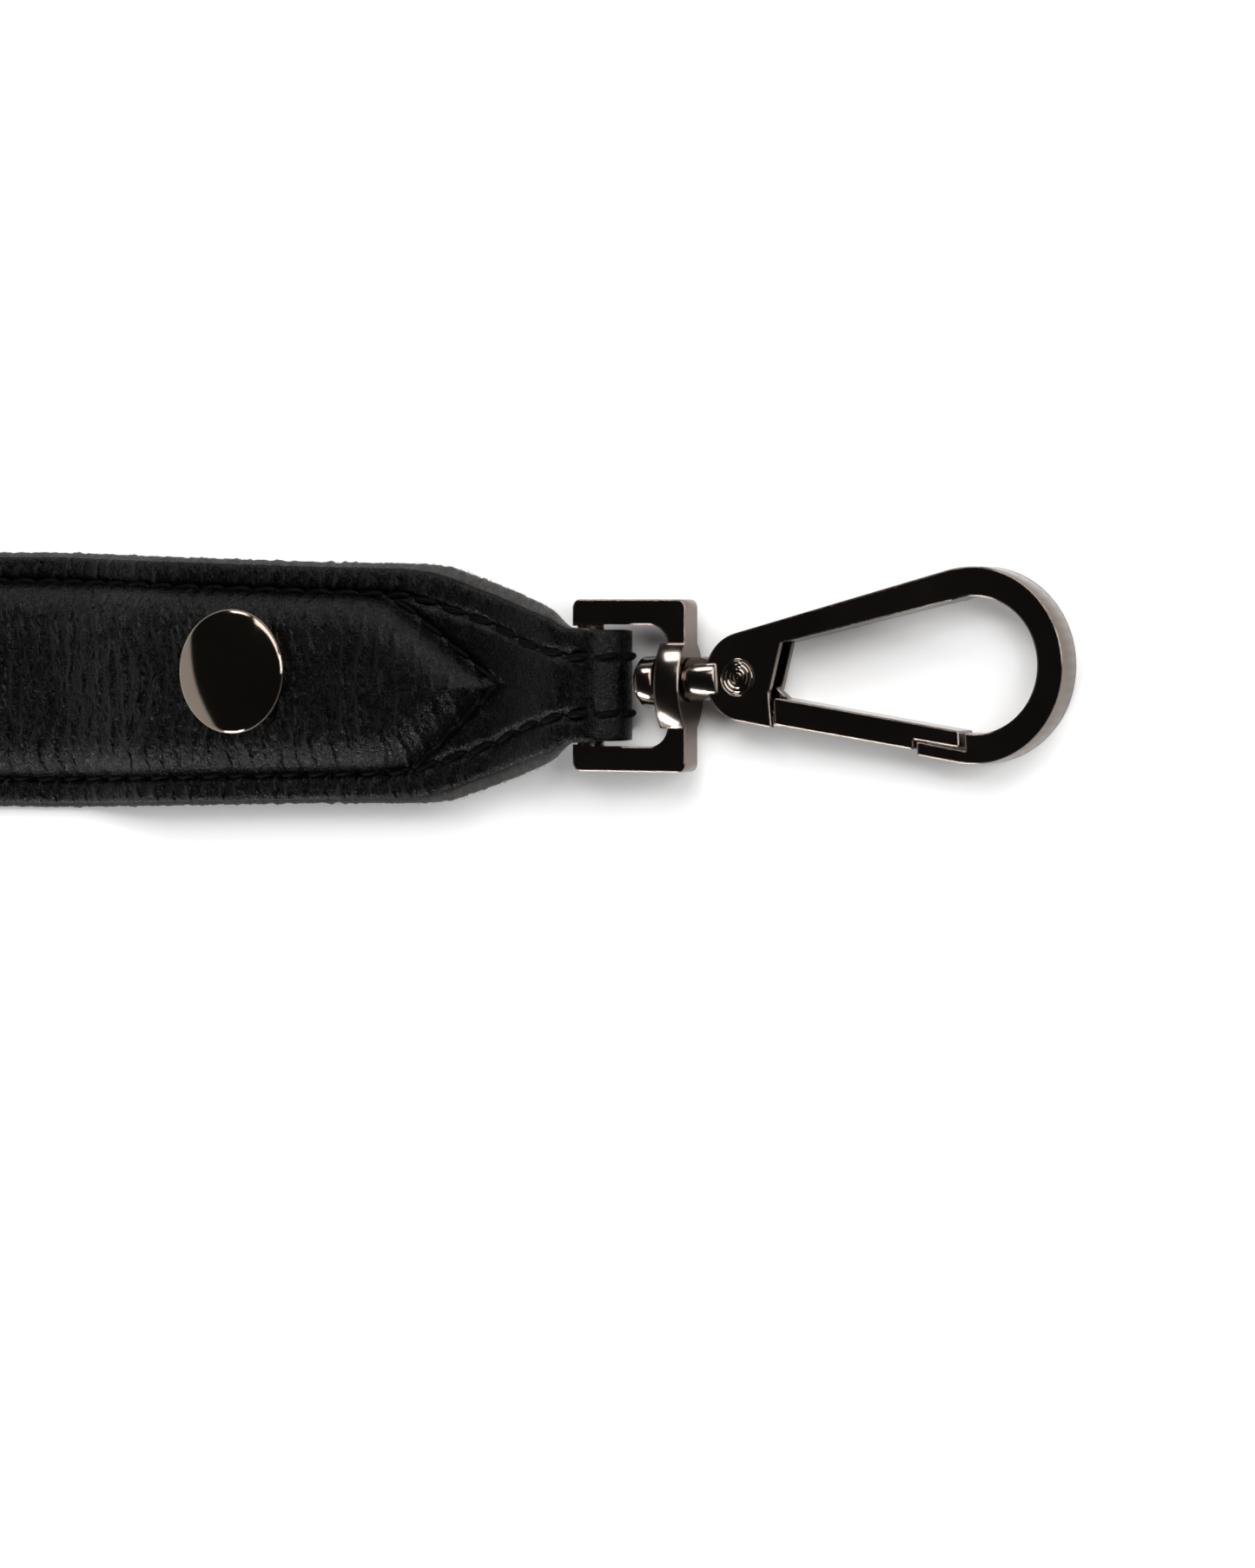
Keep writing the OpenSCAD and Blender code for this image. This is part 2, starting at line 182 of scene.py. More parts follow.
def profile(d, column):
    """A half width from the table at distance d, with its corners slightly eased."""
    total = 0.0
    for shift in (-0.9 * MM, -0.3 * MM, 0.3 * MM, 0.9 * MM):
        at = min(max(d + shift, 0.0), FOLD_X) / MM
        i = next(k for k in range(1, len(PROFILE)) if at <= PROFILE[k][0] + 0.001)
        low, high = PROFILE[i - 1], PROFILE[i]
        t = (at - low[0]) / (high[0] - low[0])
        total += low[column] + (high[column] - low[column]) * t
    return total / 4 * MM


def half_width(d):
    return profile(d, TOP)


def seam_y(d):
    return profile(d, SEAM)


def turned(v, end):
    """A point of end a, turned to the same place on end b."""
    return Vector(v) if end == "a" else Vector((-v[0], -v[1], v[2]))


def crown(inside, roll):
    """The pad's rise at this distance inside its seams: a round shoulder, then flat."""
    t = min(max(inside, 0.0) / roll, 1.0)
    return FOAM_T * (1 - (1 - t) ** CROWN_ROUND) ** CROWN_STEEP


def soft_min(a, b, k):
    h = min(max(0.5 + 0.5 * (b - a) / k, 0.0), 1.0)
    return b + (a - b) * h - k * h * (1 - h)


def make_object(name, verts, faces, material):
    mesh = bpy.data.meshes.new(name)
    mesh.from_pydata([tuple(v) for v in verts], [], faces)
    mesh.validate()
    mesh.update()
    mesh.polygons.foreach_set("use_smooth", [True] * len(mesh.polygons))
    piece = bpy.data.objects.new(name, mesh)
    bpy.context.scene.collection.objects.link(piece)
    mesh.materials.append(material)
    return piece


def face_out(piece):
    bm = bmesh.new()
    bm.from_mesh(piece.data)
    bmesh.ops.recalc_face_normals(bm, faces=bm.faces)
    bm.to_mesh(piece.data)
    bm.free()


def add_values(piece, name, values):
    layer = piece.data.attributes.new(name, "FLOAT", "POINT")
    layer.data.foreach_set("value", values)


# ---------------------------------------------------------------- materials

class Graph:
    """A short way to build a material's node tree."""

    def __init__(self, name):
        self.material = bpy.data.materials.new(name)
        self.material.use_nodes = True
        self.tree = self.material.node_tree
        self.shader = self.tree.nodes["Principled BSDF"]
        self.where = self.add("ShaderNodeTexCoord").outputs["Object"]

    def add(self, kind, inputs=None, **settings):
        node = self.tree.nodes.new(kind)
        for key, value in settings.items():
            setattr(node, key, value)
        for key, value in (inputs or {}).items():
            if isinstance(value, bpy.types.NodeSocket):
                self.tree.links.new(value, node.inputs[key])
            else:
                node.inputs[key].default_value = value
        return node

    def set(self, **values):
        for key, value in values.items():
            socket = self.shader.inputs[key.replace("_", " ")]
            if isinstance(value, bpy.types.NodeSocket):
                self.tree.links.new(value, socket)
            else:
                socket.default_value = value

    def scaled(self, scale):
        return self.add("ShaderNodeMapping", {"Vector": self.where, "Scale": scale}).outputs[0]

    def noise(self, scale, vector=None, detail=4.0, rough=0.55):
        node = self.add("ShaderNodeTexNoise", {"Vector": vector or self.where, "Scale": scale,
                                               "Detail": detail, "Roughness": rough})
        return node.outputs["Fac"]

    def ramp(self, value, *stops):
        node = self.add("ShaderNodeValToRGB", {"Fac": value})
        ramp = node.color_ramp
        for i, (at, colour) in enumerate(stops):
            stop = ramp.elements[i] if i < 2 else ramp.elements.new(at)
            stop.position = at
            stop.color = colour if isinstance(colour, tuple) else (colour, colour, colour, 1)
        return node.outputs["Color"]

    def math(self, operation, a, b):
        return self.add("ShaderNodeMath", {0: a, 1: b}, operation=operation).outputs[0]

    def bump(self, height, distance, strength=1.0, normal=None):
        inputs = {"Height": height, "Distance": distance, "Strength": strength}
        if normal:
            inputs["Normal"] = normal
        return self.add("ShaderNodeBump", inputs).outputs[0]

    def range(self, value, low, high, to_low, to_high):
        return self.add("ShaderNodeMapRange", {"Value": value, "From Min": low, "From Max": high,
                                               "To Min": to_low, "To Max": to_high}).outputs[0]


def shade(colour, k):
    return (colour[0] * k, colour[1] * k, colour[2] * k, 1)


def leather_material():
    g = Graph("pebbled_leather")
    colour = bpy.context.scene.strap_sizes.leather
    grain = g.add("ShaderNodeAttribute", attribute_name="grain").outputs["Fac"]
    warp = g.add("ShaderNodeTexNoise", {"Vector": g.where, "Scale": 420.0, "Detail": 3.0})
    bent = g.add("ShaderNodeVectorMath", {0: warp.outputs["Color"], 1: (0.0010, 0.0010, 0.0010)},
                 operation="MULTIPLY").outputs[0]
    place = g.add("ShaderNodeVectorMath", {0: g.where, 1: bent}, operation="ADD").outputs[0]
    across = g.add("ShaderNodeMapping", {"Vector": place, "Scale": (1.0, 0.55, 1.0)}).outputs[0]
    cells = g.add("ShaderNodeTexVoronoi", {"Vector": across, "Scale": 1350.0, "Randomness": 1.0},
                  feature="DISTANCE_TO_EDGE").outputs["Distance"]
    pebble = g.range(cells, 0.0, 0.35, 0.0, 1.0)
    fine_cells = g.add("ShaderNodeTexVoronoi", {"Vector": place, "Scale": 4300.0},
                       feature="DISTANCE_TO_EDGE").outputs["Distance"]
    fine = g.range(fine_cells, 0.0, 0.35, 0.0, 1.0)
    pores = g.noise(9000.0, detail=2.0)
    height = g.math("ADD", g.math("MULTIPLY", pebble, g.math("MULTIPLY", grain, 0.9)),
                    g.math("MULTIPLY", fine, 0.30))
    height = g.math("ADD", height, g.math("MULTIPLY", pores, 0.12))
    # Cross wrinkles: narrow crests that fade in and out along the strap
    bands = g.add("ShaderNodeTexWave", {"Vector": g.where, "Scale": 125.0, "Distortion": 5.0,
                                        "Detail": 3.0, "Detail Scale": 1.2},
                  bands_direction="X").outputs["Fac"]
    patch = g.range(g.noise(210.0, detail=2.0), 0.35, 0.62, 0.25, 1.0)
    crest = g.math("MULTIPLY", g.math("POWER", bands, 3.5), g.math("MULTIPLY", patch, grain))
    tone = g.noise(70.0, detail=5.0)
    # Painted shade: the colour is darker in the creases between pebbles, down to half at the cell
    # edges
    crease_painted_shade = g.ramp(pebble, (0.0, shade(colour, 0.5)), (0.5, shade(colour, 1.0)))
    mixed = g.add("ShaderNodeMix", {"Factor": g.range(tone, 0.3, 0.7, 0.0, 0.5), "A": crease_painted_shade,
                                    "B": shade(colour, 1.5)}, data_type="RGBA").outputs["Result"]
    worn = g.range(g.noise(3200.0, detail=1.0), 0.35, 0.75, 0.34, 0.20)
    fine_bump = g.bump(height, 0.00009, 1.0)
    g.set(Base_Color=mixed, Roughness=worn, Normal=g.bump(crest, 0.00034, 1.0, fine_bump),
          Specular_IOR_Level=0.10)
    return g.material


def suede_material():
    g = Graph("raw_suede")
    colour = bpy.context.scene.strap_sizes.suede
    fuzz = g.noise(1300.0, detail=8.0, rough=0.8)
    patch = g.noise(180.0, detail=3.0)
    tint = g.ramp(fuzz, (0.40, shade(colour, 0.12)), (0.62, shade(colour, 2.6)))
    mixed = g.add("ShaderNodeMix", {"Factor": g.range(patch, 0.35, 0.65, 0.0, 0.4), "A": tint,
                                    "B": shade(colour, 0.6)}, data_type="RGBA").outputs["Result"]
    g.set(Base_Color=mixed, Roughness=g.range(fuzz, 0.2, 0.8, 0.82, 0.98),
          Normal=g.bump(fuzz, 0.0005, 1.0), Sheen_Weight=0.15, Sheen_Roughness=0.55,
          Sheen_Tint=(0.9, 0.86, 0.82, 1))
    return g.material


def foam_material():
    g = Graph("pad_foam")
    cells = g.add("ShaderNodeTexVoronoi", {"Vector": g.where, "Scale": 1900.0}).outputs["Distance"]
    # Painted shade: the foam's colour is darker in each cell's pit, where the bump sinks
    tint = g.ramp(cells, (0.1, (0.42, 0.40, 0.33, 1)), (0.7, (0.66, 0.63, 0.54, 1)))
    g.set(Base_Color=tint, Roughness=g.range(cells, 0.0, 1.0, 0.85, 0.98),
          Normal=g.bump(cells, 0.0002, 0.8))
    return g.material


def thread_material():
    g = Graph("waxed_thread")
    colour = bpy.context.scene.thread_sizes.colour
    fibres = g.noise(1500.0, vector=g.scaled((1.0, 5.0, 5.0)), detail=6.0)
    tint = g.ramp(fibres, (0.3, shade(colour, 0.6)), (0.75, shade(colour, 2.4)))
    g.set(Base_Color=tint, Roughness=g.range(fibres, 0.2, 0.8, 0.42, 0.62),
          Normal=g.bump(fibres, 0.00008, 0.8), Specular_IOR_Level=0.03)
    return g.material


def metal_material(name, colour, rough_low, rough_high, brush=0.000004, rounded=True):
    """Plated metal: faint polishing marks, and handling smears in the roughness."""
    g = Graph(name)
    smear = g.noise(95.0, detail=5.0, rough=0.6)
    marks = g.noise(1400.0, vector=g.scaled((1.0, 7.0, 7.0)), detail=4.0)
    tint = g.ramp(smear, (0.25, shade(colour, 0.90)), (0.75, shade(colour, 1.06)))
    rough = g.math("ADD", g.range(smear, 0.25, 0.75, rough_low, rough_high),
                   g.math("MULTIPLY", marks, 0.03))
    edges = None
    if rounded:
        edges = g.add("ShaderNodeBevel", {"Radius": bpy.context.scene.metal_finish.bevel},
                      samples=6).outputs["Normal"]
    g.set(Base_Color=tint, Metallic=1.0, Roughness=rough, Normal=g.bump(marks, brush, 0.5, edges))
    return g.material


def floor_material():
    g = Graph("pale_floor")
    colour = bpy.context.scene.studio_look.floor
    tone = g.noise(3.0, detail=2.0)
    tint = g.ramp(tone, (0.2, shade(colour, 0.995)), (0.8, shade(colour, 1.0)))
    g.set(Base_Color=tint, Roughness=0.75, Specular_IOR_Level=0.25)
    return g.material


MATERIALS = {}


def finish(name):
    """Each finish is made once, on first use."""
    metal = bpy.context.scene.metal_finish
    makers = {
        "leather": leather_material, "suede": suede_material, "foam": foam_material,
        "thread": thread_material,
        "hook": lambda: metal_material("black_nickel", metal.hook, 0.10, 0.16),
        "rivet": lambda: metal_material("spun_rivet", metal.hook, 0.08, 0.12, rounded=False),
        "stud": lambda: metal_material("polished_cap", metal.stud, 0.04, 0.08),
        "steel": lambda: metal_material("plain_steel", metal.steel, 0.22, 0.34, 0.00001),
    }
    if name not in MATERIALS:
        MATERIALS[name] = makers[name]()
    return MATERIALS[name]


# ---------------------------------------------------------------- the strap's skin

def pad_side(d, y):
    """How far (d, y) lies inside the seams that bound the pad; below 0 outside them."""
    side = 1 if y >= 0 else -1
    inside_edge = seam_y(d) - abs(y)
    shoulder = SHOULDERS[side]
    run, rise = shoulder - POINT_AT, seam_y(shoulder)
    inside_point = ((d - POINT_AT) * rise - abs(y) * run) / math.hypot(run, rise)
    return inside_edge, inside_point


def skin_height(d, y, x):
    """Height of the top leather's face over its flat margin, and how strong its grain is."""
    sizes = bpy.context.scene.strap_sizes
    pitch = bpy.context.scene.thread_sizes.pitch
    edge, point = pad_side(d, y)
    blunt = point - 0.7 * (math.hypot(y, 1.5 * MM) - abs(y))
    inside = soft_min(edge, blunt, 3.0 * MM)
    beat = math.cos(2 * math.pi * x / pitch)
    pit = max(beat, 0.0) ** 6
    on_edge = math.exp(-(edge / SEAM_WIDE) ** 2)
    on_point = math.exp(-(point / SEAM_WIDE) ** 2) * ease(edge / (0.8 * MM) + 0.4)
    groove = sizes.seam_groove * max(on_edge, on_point)
    groove += 0.30 * MM * pit * math.exp(-(edge / HOLE_WIDE) ** 2)
    groove += 0.07 * MM * beat * math.exp(-((abs(edge) - 1.1 * MM) / (0.7 * MM)) ** 2)
    rim = max(half_width(d) - abs(y), 0.0)
    rolled = 0.30 * MM * math.exp(-(rim / (0.45 * MM)))
    # Cross wrinkles: strongest away from the point, fading into it and into the margins
    far = ease((d - 24 * MM) / (34 * MM))
    sway = noise.noise(Vector((x * 130, y * 130, 1.0))) * 1.1
    sway += noise.noise(Vector((x * 30, y * 60, 5.0))) * 2.4
    wave = math.sin(2 * math.pi * (x + 0.9 * abs(y) ** 2 / (20 * MM)) / (2.5 * MM) + sway * 1.7)
    patch = 0.65 + 0.6 * noise.noise(Vector((x * 170, y * 110, 13.0)))
    cross = sizes.wrinkle * patch * (0.16 + 0.84 * far) * (0.35 + 0.65 * ease(inside / (2 * MM)))
    crease = noise.noise(Vector((x * 700 + sway, y * 130, 21.0)))
    cross_height = cross * (abs(wave) ** 1.3 * (1 if wave > 0 else -1)) - cross * 0.9 * abs(crease)
    lumps = noise.noise(Vector((x * 60, y * 70, 9.0))) * 0.14 * MM * ease(inside / (4 * MM))
    height = crown(inside, sizes.roll) - groove - rolled + cross_height + lumps
    coat = (0.45 + 0.55 * far) if inside > 0 else 0.4 * ease((d - 20 * MM) / (12 * MM)) + 0.25
    return height, coat


class Station:
    """One cross-section of the strap: where its middle face lies, and which way is out."""

    def __init__(self, x, z, out, half, main, d):
        self.x, self.z, self.out, self.half, self.main, self.d = x, z, out, half, main, d


def tongue_stations(step):
    """From the tongue's end under the strap, out to the fold and round it, for end a."""
    found = []
    nose = RETURN_END - TONGUE_HALF
    count = int((RETURN_END - LOOP_AT) / step)
    for i in range(count + 1):
        d = RETURN_END + (LOOP_AT - RETURN_END) * i / count
        half = TONGUE_HALF
        if d > nose:
            half = math.sqrt(max(TONGUE_HALF ** 2 - (d - nose) ** 2, (0.8 * MM) ** 2))
        found.append(Station(FOLD_X - d, return_z(d), (0, -1), half, False, d))
    turns = max(int(math.pi * LOOP_R / step), 16)
    for i in range(1, turns):
        a = -math.pi / 2 + math.pi * i / turns
        out = (math.cos(a), math.sin(a))
        x = FOLD_X - LOOP_AT + LOOP_R * out[0]
        found.append(Station(x, BAR.z + LOOP_R * out[1], out, half_width(0), False, 0.0))
    return found


def strap_stations(step):
    near = tongue_stations(step)
    span = FOLD_X - LOOP_AT
    count = int(2 * span / step)
    middle = []
    for i in range(count + 1):
        x = span - 2 * span * i / count
        d = FOLD_X - abs(x)
        middle.append(Station(x, mid_z(d), (0, 1), half_width(d), True, d))
    far = [Station(-s.x, s.z, (-s.out[0], s.out[1]), s.half, False, s.d) for s in reversed(near)]
    return near + middle + far


def rows_across(half, seam, counts):
    """Places across the strap, closest together round the seam."""
    near = 0.9 * MM
    marks = [0.0, max(seam - near, 0.3 * half), min(seam + near, half - 0.2 * MM), half]
    side = [0.0]
    for k, count in enumerate(counts):
        side += [marks[k] + (marks[k + 1] - marks[k]) * (i + 1) / count for i in range(count)]
    return [-y for y in side[:0:-1]] + side


def sheet_mesh(name, stations, counts, inner, outer, material, shape, edge_of):
    """A closed sheet along the stations: `shape` gives the outer face's height and grain."""
    verts, grain, faces = [], [], []
    rows = 2 * sum(counts)
    ring = 2 * rows + 4
    for s in stations:
        half = edge_of(s)
        places = rows_across(half, seam_y(s.d) if s.main else half * 0.52, counts)
        outs, ins = [], []
        for y in places:
            extra, coat = shape(s, y) if shape else (0.0, 1.0)
            k = outer + extra
            outs.append(((s.x + s.out[0] * k, y, s.z + s.out[1] * k), coat))
            ins.append(((s.x + s.out[0] * inner, y, s.z + s.out[1] * inner), 0.3))
        mid = (inner + outer) / 2
        bulge = half + 0.12 * MM
        left = ((s.x + s.out[0] * mid, -bulge, s.z + s.out[1] * mid), 0.3)
        right = ((s.x + s.out[0] * mid, bulge, s.z + s.out[1] * mid), 0.3)
        for point, coat in outs + [right] + ins[::-1] + [left]:
            verts.append(point)
            grain.append(coat)
    for i in range(len(stations) - 1):
        for j in range(ring):
            a, b = i * ring + j, i * ring + (j + 1) % ring
            faces.append((a, b, b + ring, a + ring))
    faces.append(tuple(range(ring))[::-1])
    last = (len(stations) - 1) * ring
    faces.append(tuple(range(last, last + ring)))
    piece = make_object(name, verts, faces, material)
    add_values(piece, "grain", grain)
    face_out(piece)
    return piece


class BAGSTRAP_OT_top_leather(bpy.types.Operator):
    """Make the grained top leather, crowned over its pad and folded into a loop at each end"""
    bl_idname = "bagstrap.top_leather"
    bl_label = "Top leather"

    def execute(self, context):
        step = context.scene.strap_sizes.step * 1
        counts = ((20, 11, 7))

        def shape(s, y):
            if not s.main:
                return 0.0, 0.25
            side = 1 if s.x >= 0 else -1
            return skin_height(s.d, y * side, s.x)

        piece = sheet_mesh("top_leather_skin", strap_stations(step), counts, 0.0, TOP_T,
                           finish("leather"), shape, lambda s: s.half)
        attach(piece, "strap")
        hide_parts("top_leather")
        return {"FINISHED"}


def add_fuzz(piece):
    """Short loose fibres all along the backing's cut edges, as fine tapered spikes."""
    rng = random.Random(7)
    bm = bmesh.new()
    bm.from_mesh(piece.data)
    count = 9000
    span = FOLD_X - 7.5 * MM
    corners = ((1, 0, 0), (-0.5, 0, 0.87), (-0.5, 0, -0.87))
    for _ in range(count):
        x = rng.uniform(-span, span)
        d = FOLD_X - abs(x)
        side = rng.choice((1, -1))
        half = profile(d, BACK) - 0.1 * MM
        root = Vector((x, side * half, mid_z(d) - BACK_T * rng.uniform(0.05, 0.95)))
        taper = 1.0 if d > 30 * MM else 1.7
        reach = rng.uniform(0.10, 0.38) * MM * taper
        lean = Vector((rng.gauss(0, 0.8), side, rng.gauss(0.1, 0.45))).normalized()
        tip = root + lean * reach
        tip.z = max(tip.z, 0.05 * MM)
        bend = (root + tip) / 2 + Vector((rng.gauss(0, 1), 0, rng.gauss(0, 1))) * 0.06 * MM
        wide = rng.uniform(0.018, 0.04) * MM
        base = [bm.verts.new(root + Vector(o) * wide) for o in corners]
        mid = [bm.verts.new(bend + Vector(o) * wide * 0.7) for o in corners]
        end = bm.verts.new(tip)
        for k in range(3):
            n = (k + 1) % 3
            bm.faces.new((base[k], base[n], mid[n], mid[k]))
            bm.faces.new((mid[k], mid[n], end))
        bm.faces.new(base[::-1])
    bm.to_mesh(piece.data)
    bm.free()


class BAGSTRAP_OT_backing(bpy.types.Operator):
    """Make the backing leather with its raw, slightly ragged suede edge"""
    bl_idname = "bagstrap.backing"
    bl_label = "Backing leather"

    def execute(self, context):
        step = 0.25 * MM

        def ragged(s):
            if not s.main:
                return s.half
            fray = noise.noise(Vector((s.x * 800, 4.0, 0)))
            fray += 0.7 * noise.noise(Vector((s.x * 2500, 9, 0)))
            return profile(s.d, BACK) + 0.22 * MM * fray * ease((s.d - 8 * MM) / (3 * MM))

        piece = sheet_mesh("backing_skin", strap_stations(step), (3, 2, 3), -BACK_T, -0.02 * MM,
                           finish("suede"), None, ragged)
        add_fuzz(piece)
        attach(piece, "strap")
        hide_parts("backing_leather")
        return {"FINISHED"}


class BAGSTRAP_OT_foam(bpy.types.Operator):
    """Make the foam pad inside the strap, a low crowned form pointed at both ends"""
    bl_idname = "bagstrap.foam"
    bl_label = "Foam pad"

    def execute(self, context):
        tip = FOLD_X - POINT_AT - 2 * MM
        columns, rows = 140, 16
        verts, faces = [], []
        for i in range(columns + 1):
            x = tip * (1 - 2 * i / columns)
            d = FOLD_X - abs(x)
            side = 1 if x >= 0 else -1
            ring_top, ring_low = [], []
            for j in range(rows + 1):
                v = 2 * j / rows - 1
                reach = (d - POINT_AT - 1.8 * MM) * seam_y(SHOULDERS[1]) / (SHOULDERS[1] - POINT_AT)
                half = max(min(seam_y(d) - 1.2 * MM, reach), 0.1 * MM)
                y = v * half
                edge, point = pad_side(d, y * side)
                rise = crown(min(edge, point), 5.5 * MM)
                z = mid_z(d) + max(rise - 0.45 * MM, 0.1 * MM)
                ring_top.append((x, y, z))
                ring_low.append((x, y, mid_z(d) + 0.03 * MM))
            verts += ring_top + ring_low[::-1]
        ring = 2 * rows + 2
        for i in range(columns):
            for j in range(ring):
                a, b = i * ring + j, i * ring + (j + 1) % ring
                faces.append((a, b, b + ring, a + ring))
        faces.append(tuple(range(ring)))
        faces.append(tuple(range(columns * ring, (columns + 1) * ring)))
        piece = make_object("foam_core", verts, faces, finish("foam"))
        face_out(piece)
        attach(piece, "strap")
        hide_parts("foam_pad")
        return {"FINISHED"}


# ---------------------------------------------------------------- seams

def stitch_rings(points, ups, radius, twist, verts, faces):
    """A two-ply thread along the points: its section has two lobes that turn as it goes."""
    sides = 10
    start = len(verts)
    for i, p in enumerate(points):
        ahead = (points[min(i + 1, len(points) - 1)] - points[max(i - 1, 0)]).normalized()
        across = ahead.cross(ups[i]).normalized()
        up = across.cross(ahead)
        for k in range(sides):
            a = 2 * math.pi * k / sides
            lobe = radius * (0.80 + 0.20 * abs(math.cos(a + twist * i)))
            verts.append(p + across * (lobe * math.cos(a)) + up * (lobe * math.sin(a)))
    for i in range(len(points) - 1):
        for k in range(sides):
            a, b = start + i * sides + k, start + i * sides + (k + 1) % sides
            faces.append((a, b, b + sides, a + sides))
    faces.append(tuple(range(start, start + sides))[::-1])
    end = start + (len(points) - 1) * sides
    faces.append(tuple(range(end, end + sides)))


def seam_object(name, runs, node):
    """One thread row: each run is a function of distance giving (point, up), and its holes."""
    radius = bpy.context.scene.thread_sizes.radius
    verts, faces = [], []
    for where, holes in runs:
        for a, b in zip(holes, holes[1:]):
            points, ups = [], []
            for i in range(9):
                t = i / 8
                at, up = where(a + (b - a) * (0.10 + 0.80 * t))
                sink = radius * (0.25 - 1.5 * (abs(2 * t - 1) ** 4))
                lean = (t - 0.5) * 0.36 * MM
                ahead = (where(b)[0] - where(a)[0]).normalized()
                points.append(at + up * sink + up.cross(ahead) * lean)
                ups.append(up)
            stitch_rings(points, ups, radius, 0.8, verts, faces)
    # Threads under the strap are pressed flat by the surface it lies on
    verts = [Vector((v.x, v.y, max(v.z, 0.02 * MM))) for v in verts]
    piece = make_object(name, verts, faces, finish("thread"))
    face_out(piece)
    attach(piece, "strap")
    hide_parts(node)
    return piece


def on_top(x, y):
    """The point of the top leather's face over (x, y)."""
    side = 1 if x >= 0 else -1
    d = FOLD_X - abs(x)
    height, _ = skin_height(d, y * side, x)
    return Vector((x, y, mid_z(d) + TOP_T + height))


def edge_run(side):
    def where(x):
        d = FOLD_X - abs(x)
        return on_top(x, side * seam_y(d)), Vector((0, 0, 1))

    pitch = bpy.context.scene.thread_sizes.pitch
    count = int((FOLD_X - LOOP_AT) / pitch)
    return where, [i * pitch for i in range(-count, count + 1)]


def fold_run(side, end):
    """The edge seam where the tongue turns round the ring's bar and goes back under."""
    inset = bpy.context.scene.strap_sizes.seam_inset
    y = side * (TONGUE_HALF - inset)
    pitch = bpy.context.scene.thread_sizes.pitch
    r = LOOP_AT
    arc = math.pi * r
    first = (int((FOLD_X - LOOP_AT) / pitch) + 1) * pitch - (FOLD_X - LOOP_AT)

    def where(s):
        if s <= arc:
            a = math.pi / 2 - s / r
            up = Vector((math.cos(a), 0, math.sin(a)))
            p = Vector((FOLD_X - LOOP_AT, y, BAR.z)) + up * r
        else:
            d = LOOP_AT + s - arc
            p = Vector((FOLD_X - d, y, return_z(d) - TOP_T))
            up = Vector((0, 0, -1))
        return turned(p, end), turned(up, end)

    length = arc + RETURN_END - LOOP_AT - 8 * MM
    return where, [first - pitch + i * pitch for i in range(int(length / pitch) + 1)]


def point_runs(end):
    runs = []
    pitch = bpy.context.scene.thread_sizes.pitch
    for side in (1, -1):
        shoulder = SHOULDERS[side]
        run, rise = shoulder - POINT_AT, seam_y(shoulder)
        length = math.hypot(run, rise)
        count = max(int(length / pitch), 1)

        def where(s, side=side, run=run, rise=rise, length=length):
            x = FOLD_X - POINT_AT - run * s / length
            p = on_top(x, side * rise * s / length)
            return turned(p, end), Vector((0, 0, 1))

        runs.append((where, [length * i / count for i in range(count + 1)]))
    return runs


class BAGSTRAP_OT_seams(bpy.types.Operator):
    """Sew the two edge seams and the pointed seam at each end, stitch by stitch"""
    bl_idname = "bagstrap.seams"
    bl_label = "Seams"

    def execute(self, context):
        for side, word in ((1, "left"), (-1, "right")):
            runs = [edge_run(side)] + [fold_run(side if end == "a" else -side, end) for end in ENDS]
            seam_object(f"edge_thread_{word}", runs, f"edge_stitching_{word}")
        for end in ENDS:
            seam_object(f"point_thread_{end}", point_runs(end), f"point_stitching_{end}")
        return {"FINISHED"}


# ---------------------------------------------------------------- studs

def lathe(name, outline, place, material, sides=96):
    """A round piece: `outline` is a list of (radius, height), turned about the z axis of `place`."""
    verts, faces = [], []
    for r, z in outline:
        for k in range(sides):
            a = 2 * math.pi * k / sides
            verts.append(place @ Vector((r * math.cos(a), r * math.sin(a), z)))
    for i in range(len(outline) - 1):
        for k in range(sides):
            a, b = i * sides + k, i * sides + (k + 1) % sides
            faces.append((a, b, b + sides, a + sides))
    faces.append(tuple(range(sides))[::-1])
    last = (len(outline) - 1) * sides
    faces.append(tuple(range(last, last + sides)))
    piece = make_object(name, verts, faces, material)
    face_out(piece)
    return piece


class BAGSTRAP_OT_studs(bpy.types.Operator):
    """Make each stud's shallow domed cap with its rolled rim, and finish its post and base"""
    bl_idname = "bagstrap.studs"
    bl_label = "Studs"

    def execute(self, context):
        rim = 0.5 * MM
        low = CAP_LOW - 0.15 * MM
        for end in ENDS:
            at = turned((STUD.x, STUD.y, 0), end)
            outline = [(CAP_R - rim, low), (CAP_R - 0.2 * MM, low + 0.03 * MM)]
            for i in range(10):
                a = math.pi * (-0.40 + 0.80 * i / 9)
                outline.append((CAP_R - rim + rim * math.cos(a), low + rim + rim * math.sin(a)))
            dome_r, dome_z = outline[-1]
            for i in range(1, 25):
                t = i / 24
                r = dome_r * (1 - t)
                z = dome_z + (STUD_TOP - dome_z) * (1 - (1 - t) ** 2.3)
                outline.append((max(r, 0.02 * MM), z))
            cap = lathe(f"stud_dome_{end}", outline, Matrix.Translation(at), finish("stud"))
            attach(cap, "strap")
            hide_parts(f"stud_cap_{end}")
            for node in ("stud_post", "stud_base"):
                dress(f"{node}_{end}", "steel")
        return {"FINISHED"}


# ---------------------------------------------------------------- hook metal

